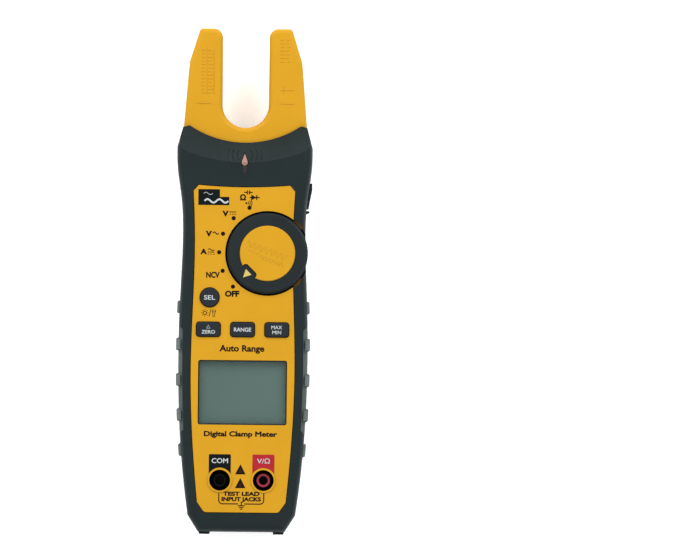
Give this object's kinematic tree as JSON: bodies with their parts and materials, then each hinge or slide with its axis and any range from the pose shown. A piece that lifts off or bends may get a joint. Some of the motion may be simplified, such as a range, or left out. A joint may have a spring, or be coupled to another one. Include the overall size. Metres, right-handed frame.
{
  "type": "clamp meter",
  "caption": "Hand-held open-jaw clamp meter with a two-pronged current fork, rotary selector, push buttons, front and end displays and shrouded test-lead jacks.",
  "frame": {"origin": "centre of the back plane that the meter lies on, midway along its length", "axes": "+Z out of the front face, +Y along the body towards the fork, +X to the right seen from the front"},
  "size_m": [0.059, 0.2208, 0.038],
  "materials": {
    "housing_rubber": "soft-touch moulded, matt",
    "grip_rubber": "moulded, matt grey",
    "yellow_plastic": "fine moulded texture",
    "liner_plastic": "moulded, dull",
    "black_plastic": "moulded",
    "knob_plastic": "fine moulded texture",
    "pointer_yellow": "printed inlay",
    "red_plastic": "moulded",
    "white_plastic": "moulded",
    "key_rubber": "silicone keys",
    "seal_rubber": "soft",
    "clear_window": "clear moulded acrylic",
    "lcd_glass": "display glass with polariser",
    "light_guide": "milky",
    "red_lens": "translucent red",
    "screw_steel": "zinc plated",
    "core_iron": "laminated",
    "winding_copper": "enamelled wire",
    "flex_circuit": "polyimide film",
    "chip_black": "moulded epoxy",
    "board_green": "solder mask",
    "contact_gold": "gold flash",
    "contact_brass": "turned",
    "contact_nickel": "nickel plated",
    "battery_wrap": "plain wrap",
    "label_film": "plain film"
  },
  "bodies": {
    "housing": {"front_case": "housing_rubber", "rear_case": "housing_rubber", "front_panel": "yellow_plastic", "left_grip": "grip_rubber", "right_grip": "grip_rubber", "well_liner": "liner_plastic", "fork_front_shell": "yellow_plastic", "fork_rear_shell": "yellow_plastic", "fork_screws": "screw_steel", "jaw_core": "core_iron", "coil_bobbins": "white_plastic", "sensor_coils": "winding_copper", "sensor_flex": "flex_circuit", "hall_sensors": "chip_black", "knob_seal": "seal_rubber", "detent_ring": "white_plastic", "keypad_mat": "grip_rubber", "key_contacts": "contact_gold", "hold_switch": "chip_black", "display_window": "clear_window", "display_panel": "lcd_glass", "display_backlight": "light_guide", "display_connectors": "seal_rubber", "display_frame": "black_plastic", "end_window": "clear_window", "end_display_panel": "lcd_glass", "end_backlight": "light_guide", "end_display_board": "board_green", "main_board": "board_green", "board_screws": "screw_steel", "board_components": "chip_black", "buzzer": "black_plastic", "ncv_lens": "red_lens", "ncv_led": "white_plastic", "torch_lens": "clear_window", "torch_led": "white_plastic", "jack_sleeves": "black_plastic", "com_insert": "black_plastic", "volt_insert": "red_plastic", "jack_contacts": "contact_brass", "battery_tray": "black_plastic", "batteries": "battery_wrap", "battery_contacts": "contact_nickel", "battery_springs": "contact_nickel", "case_screws": "screw_steel", "rating_label": "label_film"},
    "selector": {"selector_knob": "knob_plastic", "knob_cap": "yellow_plastic", "knob_pointer": "pointer_yellow", "contact_rotor": "white_plastic", "rotor_wipers": "contact_gold", "detent_spring": "screw_steel"},
    "select_key": {"select_button": "key_rubber"},
    "zero_key": {"zero_button": "key_rubber"},
    "range_key": {"range_button": "key_rubber"},
    "maxmin_key": {"maxmin_button": "key_rubber"},
    "hold_key": {"hold_button": "key_rubber"},
    "door": {"battery_door": "housing_rubber", "door_seal": "seal_rubber", "door_screw": "screw_steel"}
  },
  "joints": [
    {"name": "selector_turn", "type": "hinge", "parent": "housing", "child": "selector", "pos_m": [0.01035, 0.0122, 0.031], "axis": [0, 0, 1], "range_deg": [-112.5, 0]},
    {"name": "select_press", "type": "slide", "parent": "housing", "child": "select_key", "axis": [0, 0, -1], "range_m": [0, 0.0008], "stiffness_N_per_m": 1200},
    {"name": "zero_press", "type": "slide", "parent": "housing", "child": "zero_key", "axis": [0, 0, -1], "range_m": [0, 0.0008], "stiffness_N_per_m": 1200},
    {"name": "range_press", "type": "slide", "parent": "housing", "child": "range_key", "axis": [0, 0, -1], "range_m": [0, 0.0008], "stiffness_N_per_m": 1200},
    {"name": "maxmin_press", "type": "slide", "parent": "housing", "child": "maxmin_key", "axis": [0, 0, -1], "range_m": [0, 0.0008], "stiffness_N_per_m": 1200},
    {"name": "hold_press", "type": "slide", "parent": "housing", "child": "hold_key", "axis": [-1, 0, 0], "range_m": [0, 0.0008], "stiffness_N_per_m": 1200},
    {"name": "door_lift", "type": "slide", "parent": "housing", "child": "door", "axis": [0, 0, -1], "range_m": [0, 0.02]}
  ]
}
